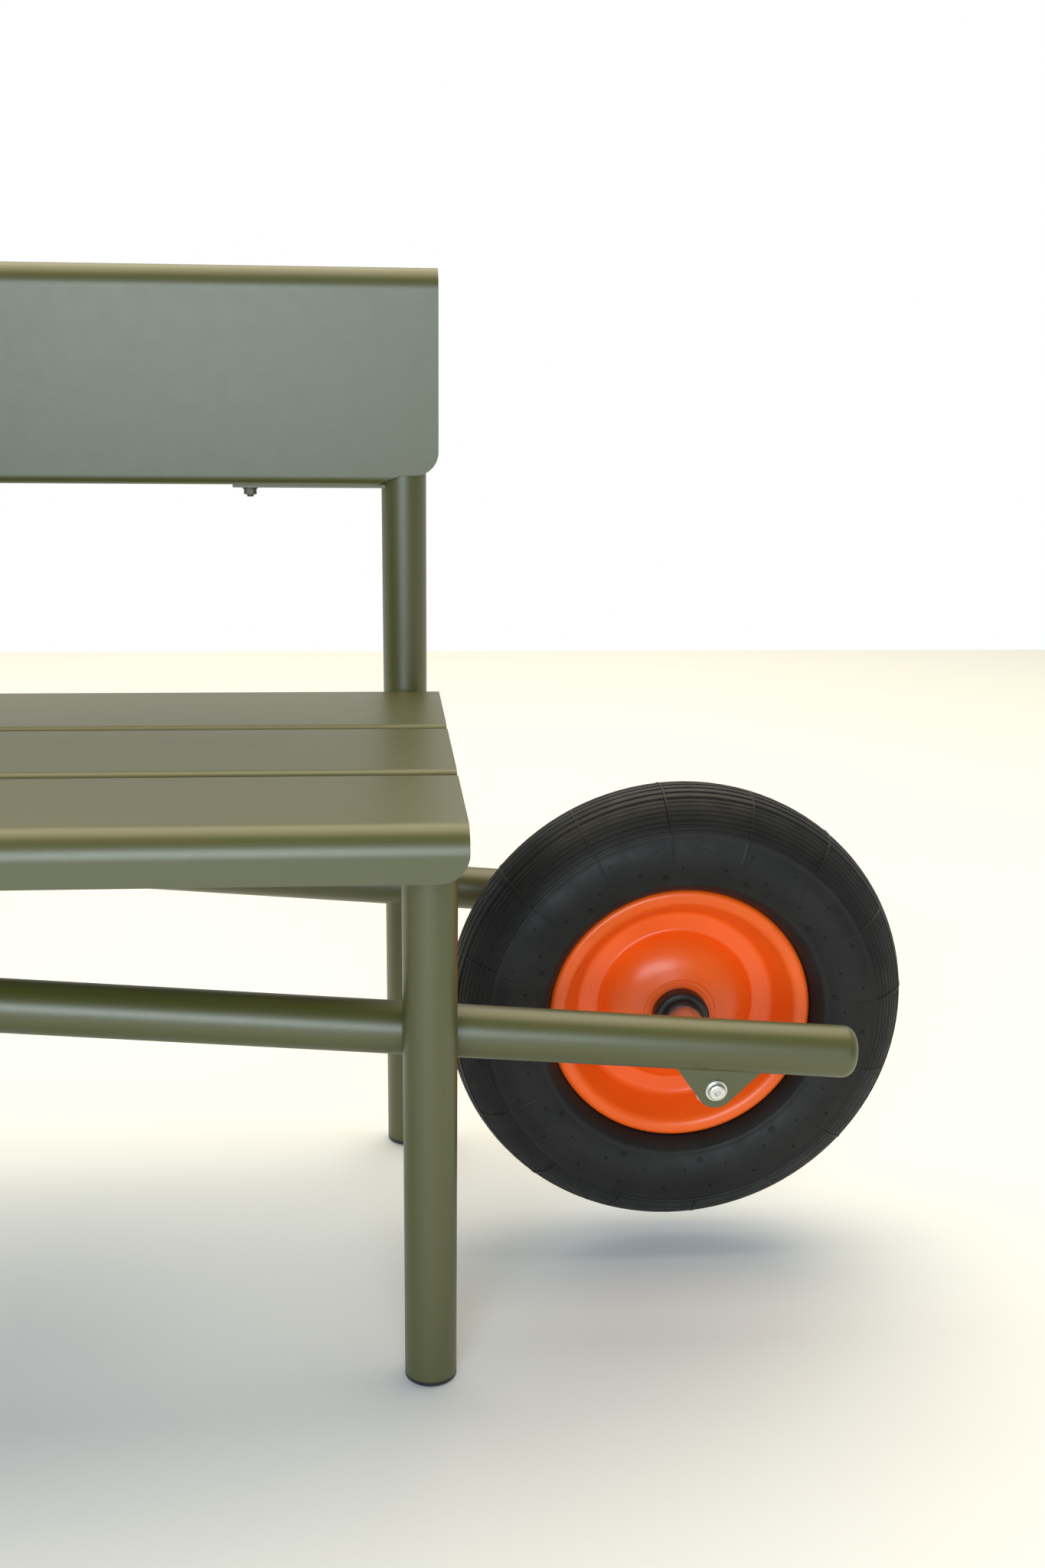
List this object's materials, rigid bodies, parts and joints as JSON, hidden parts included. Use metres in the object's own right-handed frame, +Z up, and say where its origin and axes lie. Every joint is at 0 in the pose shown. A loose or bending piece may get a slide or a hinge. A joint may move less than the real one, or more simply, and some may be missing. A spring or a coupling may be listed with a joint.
{
  "type": "wheelbarrow bench",
  "caption": "Garden bench on a wheelbarrow chassis: folded sheet seat and back on a tube frame, sloping side rails as handles, pneumatic wheel at one end.",
  "frame": {"origin": "on the ground, under the centre of the object's overall box", "axes": "+X along the bench towards the wheel, -Y the side people sit on, +Z up"},
  "size_m": [1.762, 0.5236, 0.848],
  "materials": {
    "green_powder_coat": "satin moss-green powder coat with a fine texture",
    "orange_paint": "semi-gloss bright orange paint",
    "tyre": "matt black ribbed rubber",
    "black_rubber": "matt black",
    "black_plastic": "moulded black, slightly glossy",
    "zinc_steel": "bright zinc"
  },
  "bodies": {
    "bench": {"axle": "zinc_steel", "axle_bolts": "zinc_steel", "axle_plate_front": "green_powder_coat", "axle_plate_rear": "green_powder_coat", "axle_sleeve_front": "zinc_steel", "axle_sleeve_rear": "zinc_steel", "axle_washers": "zinc_steel", "back_bracket_lower_handle_end": "green_powder_coat", "back_bracket_lower_wheel_end": "green_powder_coat", "back_bracket_upper_handle_end": "green_powder_coat", "back_bracket_upper_wheel_end": "green_powder_coat", "back_nuts": "zinc_steel", "back_panel": "green_powder_coat", "back_studs": "zinc_steel", "bearer_handle_end": "green_powder_coat", "bearer_middle": "green_powder_coat", "bearer_wheel_end": "green_powder_coat", "foot_front_handle_end": "black_plastic", "foot_front_wheel_end": "black_plastic", "foot_rear_handle_end": "black_plastic", "foot_rear_wheel_end": "black_plastic", "leg_front_handle_end": "green_powder_coat", "leg_front_wheel_end": "green_powder_coat", "post_cap_handle_end": "green_powder_coat", "post_cap_wheel_end": "green_powder_coat", "post_rear_handle_end": "green_powder_coat", "post_rear_wheel_end": "green_powder_coat", "rail_cap_front_handle_end": "green_powder_coat", "rail_cap_front_wheel_end": "green_powder_coat", "rail_cap_rear_handle_end": "green_powder_coat", "rail_cap_rear_wheel_end": "green_powder_coat", "rail_front": "green_powder_coat", "rail_rear": "green_powder_coat", "seat_board_front": "green_powder_coat", "seat_board_middle": "green_powder_coat", "seat_board_rear": "green_powder_coat", "seat_nuts": "zinc_steel", "seat_studs": "zinc_steel"},
    "wheel": {"tyre": "tyre", "inner_tube": "black_rubber", "rim_front": "orange_paint", "rim_rear": "orange_paint", "hub_tube": "orange_paint", "hub_bush_front": "black_plastic", "hub_bush_rear": "black_plastic", "valve_stem": "black_rubber", "valve_cap": "black_plastic"}
  },
  "joints": [
    {"name": "wheel_spin", "type": "hinge", "parent": "bench", "child": "wheel", "pos_m": [0.68096, 0.03125, 0.229], "axis": [0, 1, 0], "continuous": true}
  ]
}
